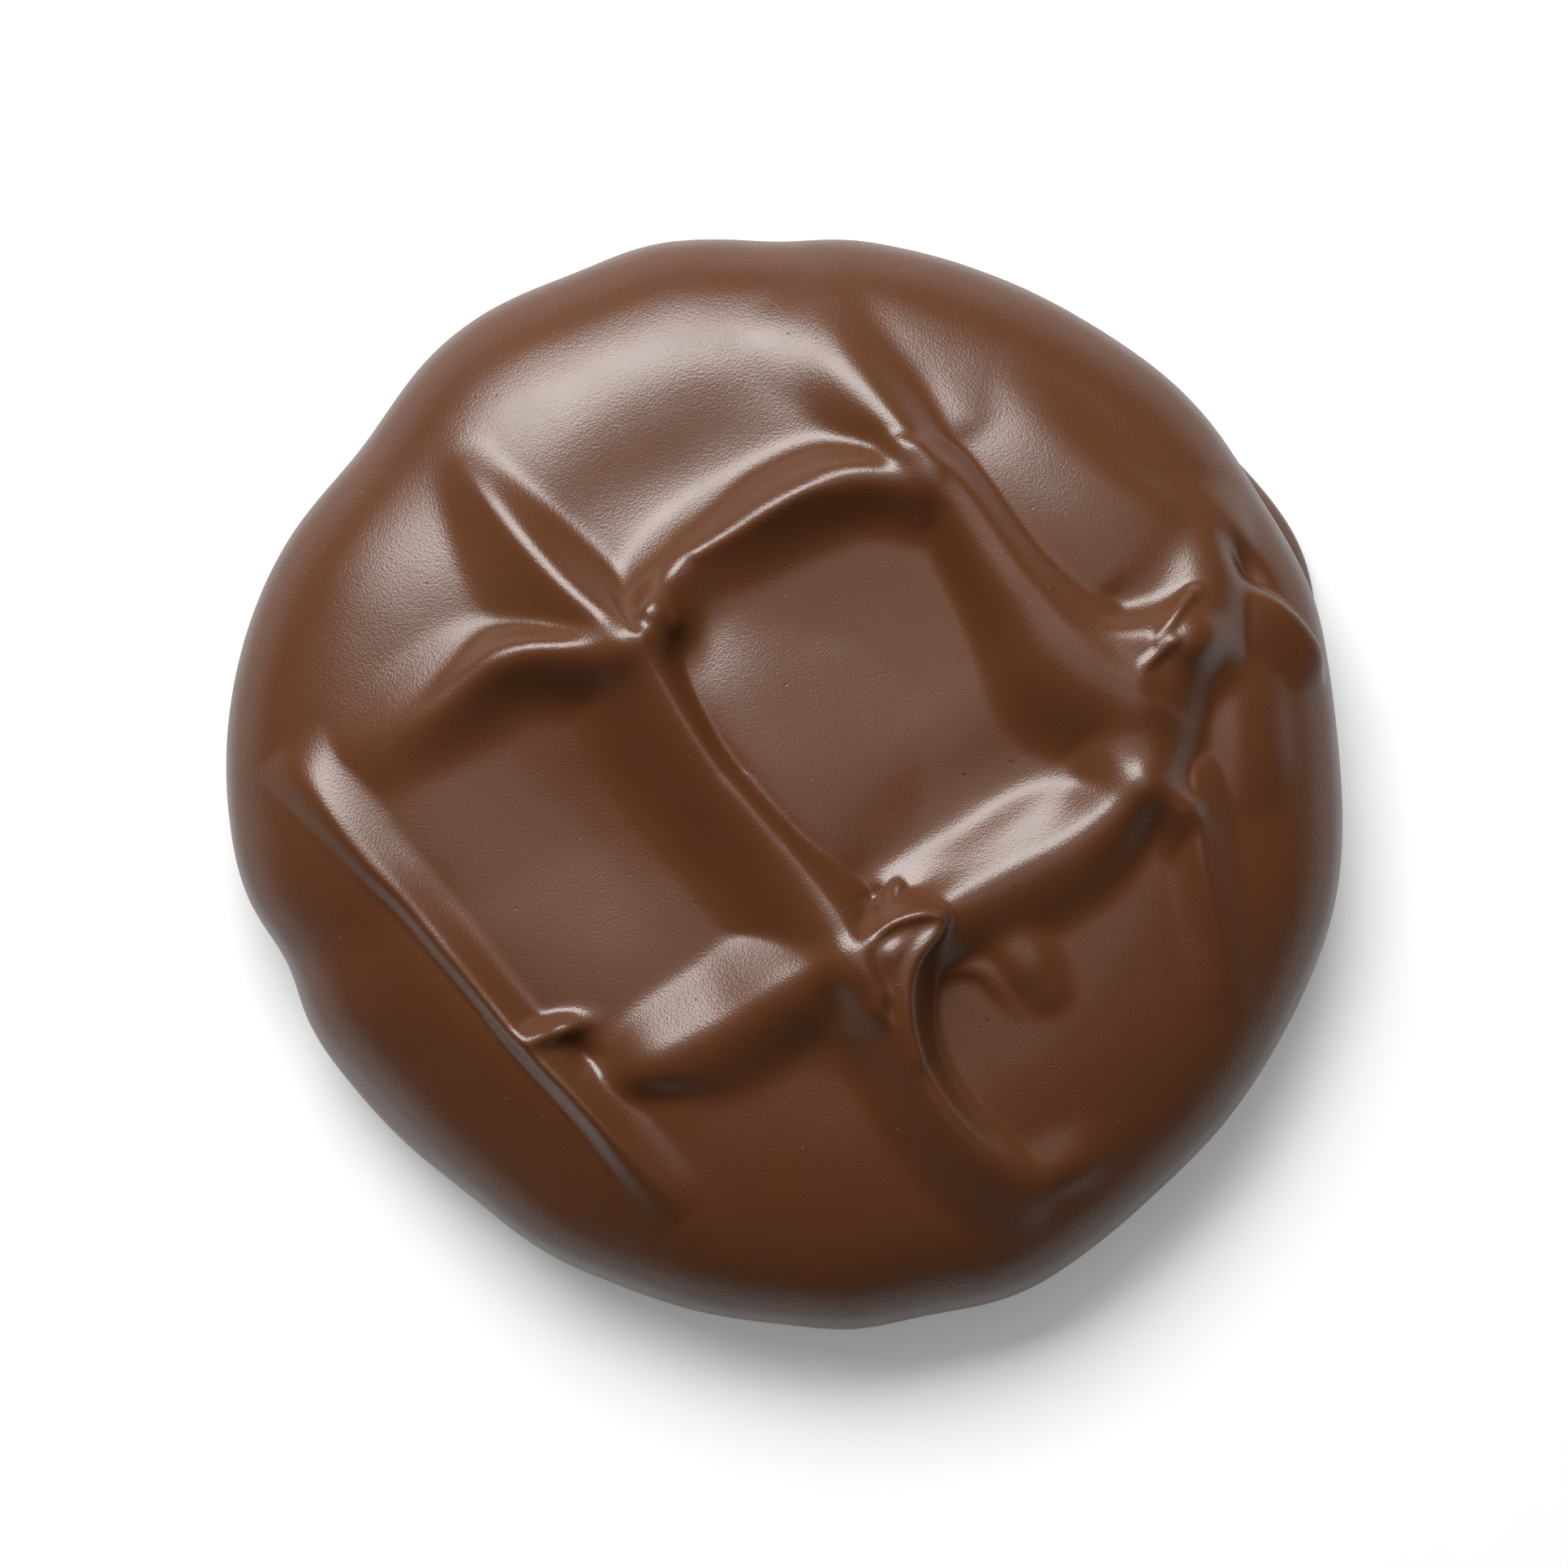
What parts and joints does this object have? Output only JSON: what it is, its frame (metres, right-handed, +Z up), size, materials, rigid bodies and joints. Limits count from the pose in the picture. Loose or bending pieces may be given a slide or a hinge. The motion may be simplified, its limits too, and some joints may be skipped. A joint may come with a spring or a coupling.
{
  "type": "filled chocolate",
  "caption": "Round coated chocolate patty with a flat foot, its top pulled into slanted crossing ridges with small curled tips.",
  "frame": {"origin": "bottom centre of the bounding box, on the flat foot", "axes": "+Z up out of the decorated top, +X along the widest width, +Y towards the top of the picture"},
  "size_m": [0.046, 0.0449, 0.0118],
  "materials": {
    "milk_chocolate": "satin"
  },
  "bodies": {
    "root": {"chocolate_patty": "milk_chocolate"}
  },
  "joints": []
}
